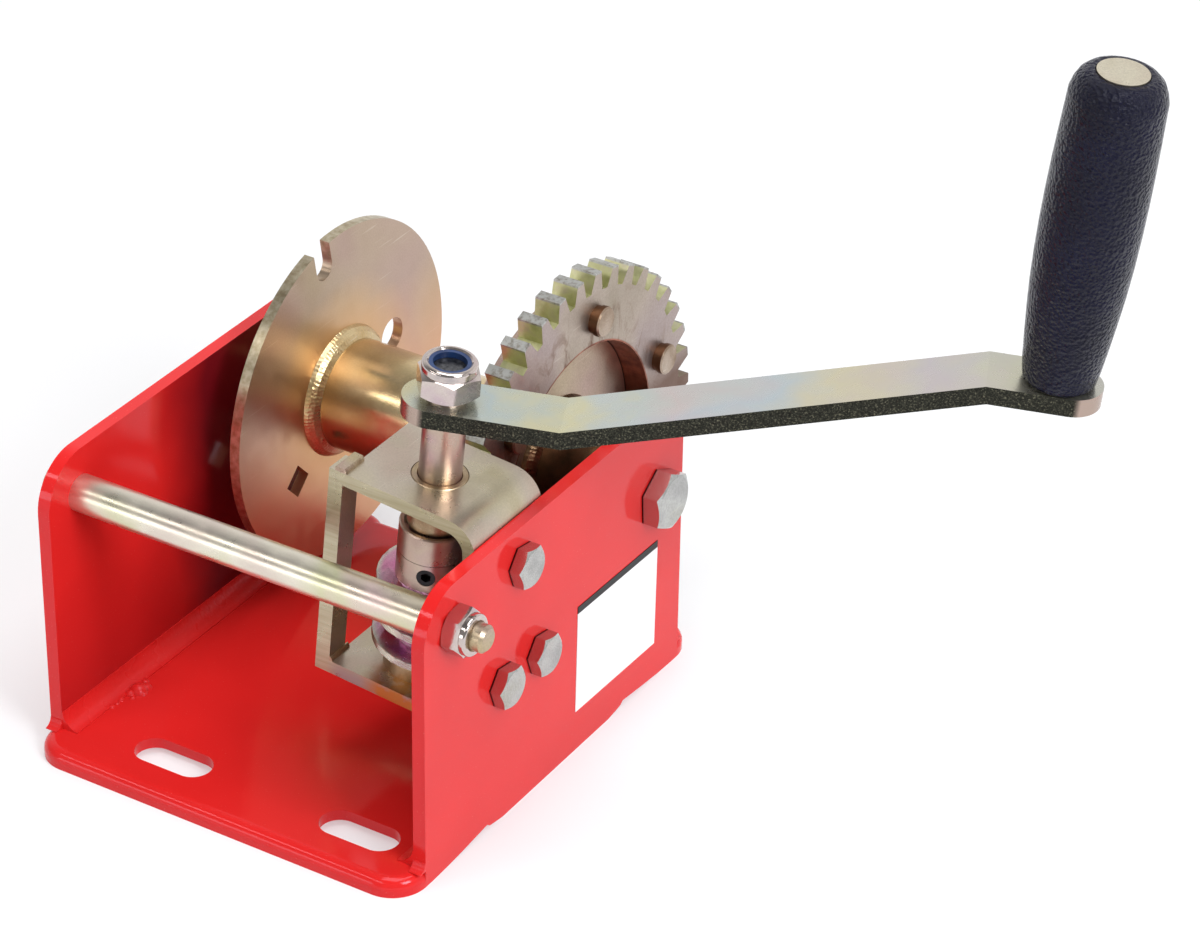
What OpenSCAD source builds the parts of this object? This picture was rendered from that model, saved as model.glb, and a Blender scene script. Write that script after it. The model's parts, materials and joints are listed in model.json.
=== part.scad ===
// Hand winch: rope drum turned by a crank through a worm and a straight-toothed worm wheel.
// Millimetres. The underside of the base is Z = 0 and Z points up. X runs across the frame
// towards the plate that carries the crank bracket, and Y runs from the open front to the drum.
// The origin is the middle of the two front base slots, on the underside plane.

/* [Frame] */
// width over the outer faces of the two side plates
frame_width = 192; // [150:1:240]
// length of a side plate along Y
plate_length = 200; // [170:1:240]
// height of the side plates above the base underside
plate_top = 136.5; // [125:0.5:170]
// thickness of a side plate
plate_t = 6; // [4:0.5:8]
// radius of the top corners of a side plate
plate_corner = 23; // [8:1:30]
// length of the base along Y
base_length = 232; // [210:1:280]
// how far the base stands out past a side plate
base_proud = 0; // [0:0.5:4]
// total height of the pressed base tray
base_h = 8; // [6:0.5:12]
// thickness of the base sheet
base_t = 5; // [3:0.5:6]
// radius of the rounded front and rear edges
base_round = 5; // [2:0.5:6]
// plan radius of the base corners
base_corner = 16; // [8:1:20]
// how far the middle of the rear edge stands in front of its corners
rear_recess = 4; // [0:0.5:8]
// distance of the weld notches from the middle of the frame
notch_y = 54; // [30:1:80]
// height of a weld notch at its peak
notch_h = 3; // [1:0.1:4]
// length of the long ramp of a weld notch
notch_l = 40; // [20:1:60]
// leg of the fillet inside each side plate
fillet_leg = 8; // [3:0.5:12]

/* [Base slots] */
// distance between slot centres along X
slot_dx = 95; // [80:1:110]
// distance of the front slots in front of the frame middle
slot_front = 91.5; // [80:0.5:100]
// distance of the single rear slot behind the frame middle
slot_rear = 91.5; // [80:0.5:95]
// end to end length of a slot
slot_length = 37.5; // [25:0.5:45]
// width of a slot
slot_width = 17.2; // [10:0.1:20]
// distance of the slot pattern from the middle of the frame, towards the crank side
slot_shift = 10; // [0:0.5:15]

/* [Tie rod and bolts] */
// distance of the tie rod in front of the frame middle
tie_y = 78.8; // [60:0.1:90]
// height of the tie rod
tie_z = 115.7; // [90:0.1:125]
// outside diameter of the tie rod tube
tie_tube_d = 16.4; // [14:0.1:22]
// diameter of the bolt inside the tie rod tube
tie_bolt_d = 12; // [8:0.5:14]
// diameter of the three bracket bolts
bracket_bolt_d = 10; // [8:0.5:12]
// height of the upper bracket bolt
bolt_high_z = 118.9; // [100:0.1:125]
// height of the two lower bracket bolts
bolt_low_z = 68; // [60:0.1:80]
// distance between the two lower bracket bolts
bolt_pair_dy = 28.2; // [20:0.1:32]

/* [Drum] */
// distance of the drum axle behind the frame middle
axle_y = 78.5; // [60:0.1:90]
// height of the drum axle
axle_z = 94.9; // [80:0.1:110]
// diameter of the axle bolt
axle_d = 16; // [12:0.5:20]
// outside diameter of the barrel
barrel_d = 51; // [40:0.5:60]
// wall thickness of the barrel
barrel_wall = 4; // [3:0.5:6]
// diameter of the drum flanges
flange_d = 157.6; // [140:0.1:160]
// thickness of a drum flange
flange_t = 5; // [3:0.1:8]
// distance from the side plate to the outer face of the plain flange
flange_inset = 18.9; // [10:0.1:30]
// width of the rope notch in the plain flange
rope_notch_w = 11.5; // [8:0.5:14]
// depth of the rope notch in the plain flange
rope_notch_h = 16; // [8:0.5:20]
// diameter of the round hole in the plain flange
rope_hole_d = 16.6; // [10:0.1:17]
// side of the square hole in the plain flange
square_hole = 11.5; // [8:0.5:14]
// direction of the rope notch round the axle
rope_notch_turn = 100.6; // [90:0.1:120]
// distance of the round hole from the axle
rope_hole_r = 39.7; // [35:0.1:60]
// direction of the round hole round the axle
rope_hole_turn = 14; // [0:0.1:40]
// distance of the square hole from the axle
square_hole_r = 46.4; // [38:0.1:60]
// direction of the square hole round the axle
square_hole_turn = 218.5; // [200:0.1:240]
// length of each bush in the barrel
drum_bush_l = 22; // [15:1:30]
// leg of the weld rings round the barrel
drum_weld = 5.2; // [3:0.1:7]
// number of rivets that hold the wheel
rivet_count = 6; // [4:1:8]
// radius of the rivet circle
rivet_circle_r = 70; // [66:0.5:72]
// diameter of a rivet head
rivet_d = 13.8; // [10:0.1:15]
// height of a rivet head
rivet_h = 5.2; // [3:0.1:6]
// direction of the first rivet round the axle
rivet_turn = 20.4; // [0:0.1:60]

/* [Worm and wheel] */
// number of teeth on the wheel
wheel_teeth = 40; // [38:1:42]
// outside radius of the wheel
wheel_tip_r = 91.9; // [91.4:0.1:92.2]
// radius at the bottom of the wheel teeth
wheel_root_r = 83; // [82:0.1:84]
// radius of the opening in the wheel ring
wheel_bore_r = 58; // [50:0.5:60]
// thickness of the wheel ring
wheel_t = 12; // [10:0.5:13]
// width of a wheel tooth at its tip
tooth_tip_w = 4.6; // [3.6:0.1:5]
// width of a wheel tooth at its root
tooth_root_w = 9; // [8:0.1:9.4]
// turn of the wheel at rest
wheel_phase = 0.6; // [-4.4:0.1:4.4]
// distance of the worm shaft in front of the frame middle
shaft_y = 29; // [28.6:0.1:30]
// distance of the worm shaft from the crank-side plate, at axle height
shaft_inset = 38.4; // [37:0.1:40]
// lean of the worm shaft towards the crank side
shaft_tilt = 5.5; // [5:0.1:6]
// outside radius of the worm
worm_r = 22.6; // [21.6:0.1:22.8]
// radius of the worm between its threads
worm_core_r = 14.2; // [12:0.1:14.4]
// lower end of the worm along the shaft
worm_low = -30.6; // [-34:0.1:-27]
// upper end of the worm along the shaft
worm_high = 4.5; // [2:0.1:8]
// width of the thread at its crest
thread_crest_w = 3.4; // [2.6:0.1:3.8]
// width of the thread at its foot
thread_foot_w = 7.6; // [6:0.1:7.8]

/* [Bracket] */
// width of the bracket strap
strap_w = 50; // [44:1:54]
// thickness of the bracket strap
strap_t = 6; // [5:0.5:8]
// upper face of the upper leg along the shaft
strap_high = 53.8; // [50:0.1:58]
// lower face of the lower leg along the shaft
strap_low = -47.6; // [-52:0.1:-44]
// reach of the legs from the shaft to their free ends
strap_reach = 30.5; // [26:0.5:36]
// outer bend radius of the strap
strap_bend = 14; // [10:0.5:18]
// width of the upright bar at the front corner
strut_w = 6.8; // [5:0.1:10]
// depth of the upright bar at the front corner
strut_d = 11.5; // [8:0.1:14]
// outside diameter of the shaft bushes
bush_d = 24; // [21:0.5:26]
// diameter of the lower bush shoulder under the worm
bush_shoulder_d = 33.6; // [28:0.1:36]

/* [Crank] */
// diameter of the worm shaft
shaft_d = 18; // [14:0.5:20]
// diameter of the threaded end of the worm shaft
shaft_end_d = 16; // [12:0.5:17]
// outside diameter of the shaft collar
collar_d = 30; // [26:0.1:30.2]
// joint between the two collar rings along the shaft
collar_split = 17.6; // [14:0.1:20]
// top of the upper collar ring along the shaft
collar_top = 30.4; // [26:0.1:32]
// diameter of the set screw
set_screw_d = 8; // [5:0.5:10]
// height of the set screw along the shaft
set_screw_z = 11.6; // [9:0.1:12.5]
// direction of the set screw around the shaft
set_screw_angle = -67; // [-90:1:0]
// plan direction of the crank arm around the shaft
arm_angle = 24; // [10:1:40]
// width of the crank arm
arm_w = 26.2; // [22:0.1:32]
// thickness of the crank arm
arm_t = 8; // [6:0.5:10]
// upper face of the arm at the shaft
arm_low_z = 91.5; // [86:0.1:100]
// upper face of the arm under the grip
arm_high_z = 144.3; // [120:0.1:160]
// distance from the shaft to the first bend
arm_bend_1 = 47.6; // [40:0.1:60]
// length of the flat end under the grip
arm_end_flat = 45.8; // [40:0.1:60]
// distance from the shaft to the far end of the arm
arm_reach = 256.8; // [240:0.1:280]
// distance from the shaft to the near end of the arm
arm_tail = 18.5; // [16:0.1:24]
// height of the lock nut base above the arm
nut_gap = 3.4; // [0:0.1:5]
// distance from the foot of the grip axis to the far end of the arm
grip_inset = 18.2; // [16:0.1:24]
// outward lean of the grip
grip_lean = 1.1; // [0:0.1:3]
// length of the grip
grip_length = 137; // [110:1:150]
// largest diameter of the grip
grip_max_d = 40.2; // [32:0.1:44]
// diameter of the grip at its foot
grip_foot_d = 29.6; // [24:0.1:34]
// diameter of the grip below its rounded top
grip_top_d = 38.4; // [30:0.1:40]
// diameter of the pin through the grip
grip_pin_d = 10; // [8:0.5:12]
// diameter of the pin head
grip_pin_head_d = 20.6; // [16:0.1:24]

/* [Label] */
// length of the blank label
label_l = 64.6; // [40:0.1:75]
// height of the blank label
label_h = 52.8; // [30:0.1:60]
// thickness of the blank label
label_t = 0.3; // [0.2:0.1:1]
// distance of the label centre behind the frame middle
label_y = 47.3; // [30:0.1:60]
// height of the label centre
label_z = 45.8; // [40:0.1:70]
// turn of the label
label_turn = -1.1; // [-3:0.1:3]

/* [Bolts and nuts] */
// width across flats of the bracket bolts
bolt_af = 17; // [13:0.5:19]
// height of a bracket bolt head
bolt_head = 6.4; // [4:0.1:8]
// height of a bracket nut
bracket_nut_h = 8; // [5:0.5:10]
// how far a bolt stands past its nut
bolt_past = 1.5; // [0:0.5:4]
// width across flats of the axle bolt and nut
axle_af = 24; // [18:0.5:27]
// height of the axle bolt head
axle_head = 9; // [6:0.5:12]
// height of the axle nut
axle_nut_h = 13; // [8:0.5:16]
// width across flats of the tie bolt and nut
tie_af = 19; // [13:0.5:22]
// height of the tie bolt head
tie_head = 7.5; // [5:0.5:10]
// height of the tie nut
tie_nut_h = 11; // [8:0.5:14]
// how far the tie bolt stands past its nut
tie_past = 5.6; // [2:0.1:8]
// width across flats of the lock nut on the crank
nut_af = 24; // [20:0.5:27]
// height of the lock nut on the crank
nut_h = 14.4; // [10:0.1:18]
// height of the nut's rolled crown
nut_crown = 4.2; // [3:0.1:6]
// depth of the shaft end below the crown
nut_recess = 3.6; // [1:0.1:5]
// outside radius of the nylon ring
nut_ring_r = 8.7; // [8.3:0.1:9.4]

/* [Fits] */
// clearance on the radius of a turning shaft in its bush
run_gap = 0.06; // [0.02:0.01:0.09]
// clearance on the radius of a bolt in its hole
bolt_gap = 0.25; // [0.1:0.05:0.5]
// clearance between parts that turn past each other
side_gap = 0.5; // [0.3:0.1:1]
// clearance on the radius of a fixed bush in its seat
seat_gap = 0.02; // [0:0.01:0.05]
// clearance between the wheel and its opening in the base
wheel_gap = 2.5; // [1:0.5:5]

/* [Hidden] */
// overlap of neighbouring outlines of one bent piece
seam_lap = 0.05;
$fn = 96;
mid_x = -slot_shift;
mid_y = slot_front;
half_w = frame_width / 2;
plate_in = half_w - plate_t;
shaft_x = plate_in - shaft_inset;
flange_x = plate_in - flange_inset - flange_t;
arm_bend_2 = arm_reach - arm_end_flat;
grip_radius = arm_reach - grip_inset;
base_w = frame_width + 2 * base_proud;
under = base_h - base_t;
tau = shaft_tilt;
ct = cos(tau);
st = sin(tau);
wheel_mid = shaft_x - 0.4;
wheel_in = wheel_mid - wheel_t / 2;
wheel_out = wheel_mid + wheel_t / 2;
right_in = wheel_in - flange_t;
centre_d = axle_y + shaft_y;
pitch_r = wheel_tip_r - 4.4;
worm_pitch_r = centre_d - pitch_r;
wheel_pitch = 2 * PI * pitch_r / wheel_teeth;
worm_lead = wheel_pitch * (ct + st * wheel_pitch / (2 * PI * worm_pitch_r));
mesh_tooth = round((180 - wheel_phase) / (360 / wheel_teeth));
mesh_angle = wheel_phase + mesh_tooth * 360 / wheel_teeth;
mesh_z = pitch_r * sin(mesh_angle);
crest_low = 90 - 360 * (worm_low - mesh_z * ct - worm_lead / 2) / worm_lead
    + atan2(mesh_z * st, worm_pitch_r);
nut_z = arm_low_z + nut_gap;
notch_floor_y = sqrt(pow(wheel_tip_r + wheel_gap, 2) - pow(axle_z - base_h, 2));
arm_slope = atan2(arm_high_z - arm_low_z, arm_bend_2 - arm_bend_1);
grip_z = arm_high_z + 1;

// Shared shapes

// a rectangle with all four corners rounded, centred on the origin
module round_rect(l, w, r) {
    square([l - 2 * r, w], center = true);
    square([l, w - 2 * r], center = true);
    for (i = [-1, 1], j = [-1, 1])
        translate([i * (l / 2 - r), j * (w / 2 - r)]) circle(r = r);
}

// a slot along X, centred on the origin
module slot_2d(l, w) {
    square([l - w, w], center = true);
    for (i = [-1, 1]) translate([i * (l - w) / 2, 0]) circle(d = w);
}

// a shape drawn along Z is laid along X, its own X axis becoming Y
module along_x() {
    rotate([90, 0, 90]) children();
}

// the frame centre is offset from the slot pattern
module in_frame() {
    translate([mid_x, mid_y, 0]) children();
}

// the leaning frame of the worm shaft, Z along the shaft, origin at axle height
module on_shaft() {
    in_frame() translate([shaft_x, -shaft_y, axle_z]) rotate([0, tau, 0]) children();
}

// the crank arm frame, X along the arm
module on_arm() {
    on_shaft() rotate([0, 0, arm_angle]) children();
}

// the drum frame, Z along the axle, X along world Y
module on_axle(x = 0) {
    in_frame() translate([x, axle_y, axle_z]) along_x() children();
}

// a hexagon prism with its top corners turned off
module hex_top(af, h) {
    rc = af / 2 / cos(30);
    intersection() {
        cylinder(r = rc, h = h, $fn = 6);
        rotate_extrude()
            polygon([[0, -1], [rc + 1, -1], [rc + 1, h - (rc + 1 - 0.47 * af) * tan(30)],
                [0.47 * af, h], [0, h]]);
    }
}

// a hexagon nut with both faces chamfered and a bore
module hex_nut(af, h, bore_r) {
    rc = af / 2 / cos(30);
    c = (rc + 1 - 0.48 * af) * tan(30);
    difference() {
        intersection() {
            cylinder(r = rc, h = h, $fn = 6);
            rotate_extrude()
                polygon([[0, 0], [0.48 * af, 0], [rc + 1, c], [rc + 1, h - c], [0.48 * af, h], [0, h]]);
        }
        translate([0, 0, -1]) cylinder(r = bore_r, h = h + 2);
    }
}

// a lock nut: a hexagon with a rolled crown that holds a ring
module lock_nut(af, h, crown, bore_r, ring_r) {
    rc = af / 2 / cos(30);
    hh = h - crown;
    c = (rc + 1 - 0.48 * af) * tan(30);
    lip = 0.4 * crown;
    difference() {
        union() {
            intersection() {
                cylinder(r = rc, h = hh, $fn = 6);
                rotate_extrude()
                    polygon([[0, 0], [0.48 * af, 0], [rc + 1, c], [rc + 1, hh - c], [0.48 * af, hh], [0, hh]]);
            }
            translate([0, 0, hh - 0.5]) cylinder(r = 0.465 * af, h = 1.3);
            translate([0, 0, hh + 0.3]) cylinder(r = 0.48 * af, h = crown - 0.3 - lip);
            translate([0, 0, h - lip]) rotate_extrude() translate([0.48 * af - lip, 0]) circle(r = lip);
            translate([0, 0, h - lip - 0.01]) cylinder(r = 0.48 * af - lip, h = lip + 0.01);
        }
        translate([0, 0, -1]) cylinder(r = bore_r, h = h + 2);
        translate([0, 0, h - crown - 0.5]) cylinder(r = ring_r, h = crown + 2);
        translate([0, 0, h - 0.7]) cylinder(r1 = ring_r, r2 = ring_r + 0.75, h = 0.75);
    }
}

// a ring standing on Z = 0
module ring(ro, ri, h) {
    difference() {
        cylinder(r = ro, h = h);
        translate([0, 0, -1]) cylinder(r = ri, h = h + 2);
    }
}

// Frame

module base_edge_2d(front, rear) {
    w = front + rear;
    translate([-front, 0]) square([w, base_h - base_round]);
    translate([base_round - front, 0]) square([w - 2 * base_round, base_h]);
    for (y = [base_round - front, rear - base_round])
        translate([y, base_h - base_round]) intersection() {
            circle(r = base_round);
            translate([-base_round, 0]) square([2 * base_round, base_round]);
        }
}

module notch_2d() {
    l = notch_l;
    h = notch_h;
    polygon([[-l, -1], [-l, 0], [-0.72 * l, 0.16 * h], [-0.45 * l, 0.42 * h], [-0.2 * l, 0.74 * h],
        [0, h], [0.05 * l, 0.5 * h], [0.14 * l, 0.3 * h], [0.3 * l, 0], [0.3 * l, -1]]);
}

// pressed base tray with a turned-down rim, three slots and an opening for the wheel
module base_plate() {
    cx = base_w / 2 - base_corner;
    cy = base_length / 2 - base_corner;
    color([0.78, 0.06, 0.07]) in_frame() difference() {
        union() {
            translate([-base_w / 2, -cy, 0]) cube([base_w, 2 * cy, base_h]);
            translate([-cx, 0, 0]) along_x() linear_extrude(height = 2 * cx)
                base_edge_2d(base_length / 2, base_length / 2 - rear_recess);
            for (i = [-1, 1], j = [-1, 1]) translate([i * cx, j * cy, 0]) {
                cylinder(r = base_corner, h = base_h - base_round);
                cylinder(r = base_corner - base_round, h = base_h);
                rotate_extrude() translate([base_corner - base_round, base_h - base_round])
                    intersection() {
                        circle(r = base_round);
                        square([base_round, base_round]);
                    }
            }
        }
        translate([0, -rear_recess / 2, -1]) linear_extrude(height = under + 1)
            round_rect(base_w - 2 * base_t, base_length - rear_recess - 2 * base_t, base_corner - base_t);
        for (p = [[-slot_dx / 2, -slot_front], [slot_dx / 2, -slot_front], [0, slot_rear]])
            translate([slot_shift + p[0], p[1], -1])
                linear_extrude(height = base_h + 2) slot_2d(slot_length, slot_width);
        translate([wheel_in - wheel_gap, axle_y - notch_floor_y, -1])
            cube([wheel_t + 2 * wheel_gap, base_length, base_h + 2]);
        for (i = [-1, 1]) translate([i * (base_w / 2) - base_t - 1, 0, 0]) along_x()
            linear_extrude(height = 2 * base_t + 2) {
                translate([-notch_y, 0]) notch_2d();
                mirror([1, 0]) translate([-notch_y, 0]) notch_2d();
            }
    }
}

module plate_2d() {
    l = plate_length;
    h = plate_top - base_h;
    r = plate_corner;
    translate([-l / 2, 0]) square([l, h - r]);
    translate([-l / 2 + r, 0]) square([l - 2 * r, h]);
    for (i = [-1, 1]) translate([i * (l / 2 - r), h - r]) circle(r = r);
}

// one side plate with its axle and tie rod holes, lying from Z = 0 to its thickness
module plate_blank() {
    difference() {
        translate([0, 0, 0]) linear_extrude(height = plate_t) translate([0, base_h]) plate_2d();
        translate([axle_y, axle_z, -1]) cylinder(r = axle_d / 2 + bolt_gap, h = plate_t + 2);
        translate([-tie_y, tie_z, -1]) cylinder(r = tie_bolt_d / 2 + bolt_gap, h = plate_t + 2);
    }
}

// side plate away from the crank
module left_side_plate() {
    color([0.78, 0.06, 0.07]) in_frame() translate([-half_w, 0, 0]) along_x() plate_blank();
}

// side plate that carries the worm bracket
module right_side_plate() {
    color([0.78, 0.06, 0.07]) in_frame() translate([plate_in, 0, 0]) along_x() difference() {
        plate_blank();
        translate([-shaft_y, bolt_high_z, -1])
            cylinder(r = bracket_bolt_d / 2 + bolt_gap, h = plate_t + 2);
        for (j = [-1, 1]) translate([-shaft_y + j * bolt_pair_dy / 2, bolt_low_z, -1])
            cylinder(r = bracket_bolt_d / 2 + bolt_gap, h = plate_t + 2);
    }
}

// fillets inside the plates, beads at the plate ends and two puddles at the notch
module frame_welds() {
    leg = fillet_leg;
    toe = 0.5;
    end_bead = 4;
    puddles = [[2.2, -60, 4.4], [3.4, -56.4, 3], [0.6, -63.6, 2.8], [5.2, -60.8, 2.2], [3.2, -65.6, 1.8],
        [0.4, -53, 2.2], [-0.2, -69.5, 1.9], [0.1, -72.6, 1.6], [-0.3, -75.8, 1.8]];
    color([0.74, 0.06, 0.07]) in_frame() {
        for (i = [-1, 1]) mirror([i > 0 ? 1 : 0, 0, 0])
            translate([-plate_in, plate_length / 2, base_h]) rotate([90, 0, 0])
                linear_extrude(height = plate_length) difference() {
                    square([leg, leg]);
                    translate([leg + toe, leg + toe]) circle(r = leg);
                }
        for (x = [-half_w, plate_in], j = [-1, 1]) translate([x, j * plate_length / 2, base_h])
            mirror([0, j < 0 ? 1 : 0, 0]) along_x() linear_extrude(height = plate_t) difference() {
                square([end_bead, end_bead]);
                translate([end_bead + toe / 2, end_bead + toe / 2]) circle(r = end_bead);
            }
        intersection() {
            union() for (p = puddles) translate([-plate_in + leg + p[0], p[1], base_h - 1]) sphere(r = p[2]);
            translate([-plate_in + leg - 6, -80, base_h]) cube([30, 40, leg]);
        }
    }
}

// tube that keeps the side plates apart
module tie_tube() {
    color([0.8, 0.74, 0.6]) in_frame() translate([-plate_in, -tie_y, tie_z]) along_x()
        ring(tie_tube_d / 2, tie_bolt_d / 2 + bolt_gap, 2 * plate_in);
}

// long bolt through the tie rod tube
module tie_bolt() {
    color([0.75, 0.74, 0.7]) in_frame() translate([0, -tie_y, tie_z]) {
        translate([-half_w, 0, 0]) along_x() cylinder(r = tie_bolt_d / 2, h = frame_width + tie_nut_h + tie_past - 1.4);
        translate([half_w + tie_nut_h + tie_past - 1.5, 0, 0]) along_x()
            cylinder(r1 = tie_bolt_d / 2, r2 = tie_bolt_d / 2 - 1.4, h = 1.5);
        translate([-half_w, 0, 0]) mirror([1, 0, 0]) along_x() hex_top(tie_af, tie_head);
    }
}

// lock nut on the tie rod bolt
module tie_nut() {
    color([0.75, 0.74, 0.72]) in_frame() translate([half_w, -tie_y, tie_z]) along_x()
        rotate([0, 0, 12]) lock_nut(tie_af, tie_nut_h, 3, tie_bolt_d / 2 + seat_gap, tie_bolt_d / 2 + seat_gap);
}

// bolt that the drum turns on
module axle_bolt() {
    color([0.75, 0.72, 0.68]) in_frame() translate([0, axle_y, axle_z]) {
        translate([-half_w - axle_nut_h - bolt_past, 0, 0]) along_x()
            cylinder(r = axle_d / 2, h = frame_width + axle_nut_h + bolt_past);
        translate([half_w, 0, 0]) along_x() rotate([0, 0, -26]) hex_top(axle_af, axle_head);
    }
}

// nut on the axle bolt
module axle_nut() {
    color([0.75, 0.74, 0.72]) in_frame() translate([-half_w, axle_y, axle_z]) mirror([1, 0, 0])
        along_x() hex_nut(axle_af, axle_nut_h, axle_d / 2 + seat_gap);
}

// blank label on the outer face of the right plate
module label_plate() {
    color([0.95, 0.95, 0.95]) in_frame() translate([half_w, label_y, label_z]) along_x()
        rotate([0, 0, label_turn]) translate([-label_l / 2, -label_h / 2, 0]) cube([label_l, label_h, label_t]);
}

// Worm bracket

// side view of the strap in X and Z, drawn about the point on the shaft at axle height
module strap_2d() {
    bx = plate_in - shaft_x - strap_bend;
    top_z = (strap_high - strap_bend - bx * st) / ct;
    low_z = (strap_low + strap_bend - bx * st) / ct;
    inner = strap_bend - strap_t;
    leg = strap_reach + bx * ct;
    rotate(-shaft_tilt) {
        translate([-strap_reach, strap_high - strap_t])
            square([leg - top_z * st + seam_lap, strap_t]);
        translate([-strap_reach, strap_low])
            square([leg - low_z * st + seam_lap, strap_t]);
    }
    translate([bx + inner, low_z - seam_lap]) square([strap_t, top_z - low_z + 2 * seam_lap]);
    translate([bx, top_z]) difference() {
        circle(r = strap_bend);
        circle(r = inner);
        translate([-strap_bend - 1, -2 * strap_bend]) square([2 * strap_bend + 2, 2 * strap_bend]);
        rotate(-shaft_tilt) translate([-2 * strap_bend, -strap_bend - 1])
            square([2 * strap_bend, 2 * strap_bend + 2]);
    }
    translate([bx, low_z]) difference() {
        circle(r = strap_bend);
        circle(r = inner);
        translate([-strap_bend - 1, 0]) square([2 * strap_bend + 2, 2 * strap_bend]);
        rotate(-shaft_tilt) translate([-2 * strap_bend, -strap_bend - 1])
            square([2 * strap_bend, 2 * strap_bend + 2]);
    }
}

// strap bent to a C that carries the worm shaft
module worm_bracket() {
    color([0.74, 0.71, 0.55]) difference() {
        in_frame() translate([shaft_x, -shaft_y + strap_w / 2, axle_z]) rotate([90, 0, 0])
            linear_extrude(height = strap_w) strap_2d();
        on_shaft() translate([0, 0, strap_high - strap_t - 3])
            cylinder(r = bush_d / 2 + seat_gap, h = strap_t + 6);
        on_shaft() translate([0, 0, strap_low - 3])
            cylinder(r = bush_d / 2 + seat_gap, h = strap_t + 6);
        in_frame() translate([plate_in - strap_t - 2, -shaft_y, 0]) along_x() {
            translate([0, bolt_high_z, 0]) cylinder(r = bracket_bolt_d / 2 + bolt_gap, h = strap_t + 4);
            for (j = [-1, 1]) translate([j * bolt_pair_dy / 2, bolt_low_z, 0])
                cylinder(r = bracket_bolt_d / 2 + bolt_gap, h = strap_t + 4);
        }
    }
}

// upright bar welded across the free ends of the strap
module bracket_strut() {
    color([0.72, 0.7, 0.58]) on_shaft()
        translate([-strap_reach - strut_w, -strap_w / 2, strap_low])
            cube([strut_w, strut_d, strap_high - strap_low]);
}

// weld beads between the bar and the strap
module strut_welds() {
    color([0.6, 0.58, 0.5]) on_shaft() {
        for (z = [strap_high, strap_low + strap_t]) intersection() {
            translate([-strap_reach - 1.5, -strap_w / 2, z]) rotate([-90, 0, 0]) cylinder(r = 3, h = strut_d + 1.5);
            translate([-strap_reach + (z > 0 ? -4 : 0), -strap_w / 2, z]) cube([8, strut_d + 1.5, 2.2]);
        }
    }
}

// flanged bush in the upper leg of the bracket
module upper_bush() {
    z = strap_high + 0.2 - collar_top - side_gap;
    color([0.72, 0.52, 0.36]) on_shaft() translate([0, 0, collar_top + side_gap]) rotate_extrude()
        polygon([[shaft_d / 2 + run_gap, 0], [bush_d / 2, 0], [bush_d / 2, z - 0.6], [bush_d / 2 - 0.5, z],
            [shaft_d / 2 + run_gap + 0.4, z], [shaft_d / 2 + run_gap, z - 0.5]]);
}

// shouldered bush in the lower leg of the bracket, under the worm
module lower_bush() {
    z0 = strap_low;
    color([0.78, 0.62, 0.3]) on_shaft() difference() {
        union() {
            translate([0, 0, z0]) cylinder(r = bush_d / 2, h = strap_t + 1);
            translate([0, 0, z0 + strap_t])
                cylinder(d = bush_shoulder_d, h = worm_low - side_gap - z0 - strap_t);
        }
        translate([0, 0, z0 - 1]) cylinder(r = shaft_d / 2 + run_gap, h = 40);
    }
}

// three bolts that hold the bracket to the side plate
module bracket_bolts() {
    color([0.75, 0.76, 0.76]) in_frame() translate([0, -shaft_y, 0]) for (p = [[0, bolt_high_z],
        [-bolt_pair_dy / 2, bolt_low_z], [bolt_pair_dy / 2, bolt_low_z]]) translate([0, p[0], p[1]]) {
        translate([plate_in - strap_t - bracket_nut_h - bolt_past, 0, 0]) along_x()
            cylinder(r = bracket_bolt_d / 2, h = plate_t + strap_t + bracket_nut_h + bolt_past);
        translate([half_w, 0, 0]) along_x() rotate([0, 0, -9.5]) hex_top(bolt_af, bolt_head);
    }
}

// nuts on the bracket bolts
module bracket_nuts() {
    color([0.72, 0.72, 0.7]) in_frame() translate([plate_in - strap_t - bracket_nut_h, -shaft_y, 0])
        for (p = [[0, bolt_high_z], [-bolt_pair_dy / 2, bolt_low_z], [bolt_pair_dy / 2, bolt_low_z]])
            translate([0, p[0], p[1]]) along_x()
                hex_nut(bolt_af, bracket_nut_h, bracket_bolt_d / 2 + seat_gap);
}

// Drum

// tube that the rope winds on
module drum_barrel() {
    color([0.8, 0.7, 0.4]) on_axle(-plate_in + side_gap)
        ring(barrel_d / 2, barrel_d / 2 - barrel_wall, 2 * plate_in - 2 * side_gap);
}

// plain flange with a rope notch, a round hole and a square hole
module left_flange() {
    color([0.78, 0.72, 0.55]) on_axle(-flange_x - flange_t) difference() {
        cylinder(d = flange_d, h = flange_t);
        translate([0, 0, -1]) cylinder(r = barrel_d / 2 + seat_gap, h = flange_t + 2);
        rotate([0, 0, rope_notch_turn]) translate([flange_d / 2 - rope_notch_h, 0, -1]) {
            translate([rope_notch_w / 2, 0, 0]) cylinder(d = rope_notch_w, h = flange_t + 2);
            translate([rope_notch_w / 2, -rope_notch_w / 2, 0]) cube([rope_notch_h, rope_notch_w, flange_t + 2]);
        }
        rotate([0, 0, rope_hole_turn]) translate([rope_hole_r, 0, -1]) cylinder(d = rope_hole_d, h = flange_t + 2);
        rotate([0, 0, square_hole_turn]) translate([square_hole_r, 0, flange_t / 2]) rotate([0, 0, 4.5])
            cube([square_hole, square_hole, flange_t + 2], center = true);
    }
}

// flange that carries the wheel ring
module right_flange() {
    color([0.74, 0.66, 0.5]) on_axle(right_in) difference() {
        cylinder(d = flange_d, h = flange_t);
        translate([0, 0, -1]) cylinder(r = barrel_d / 2 + seat_gap, h = flange_t + 2);
        for (k = [0:rivet_count - 1]) rotate([0, 0, rivet_turn + k * 360 / rivet_count])
            translate([rivet_circle_r, 0, -1]) cylinder(d = rivet_d - 3, h = flange_t + 2);
    }
}

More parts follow.
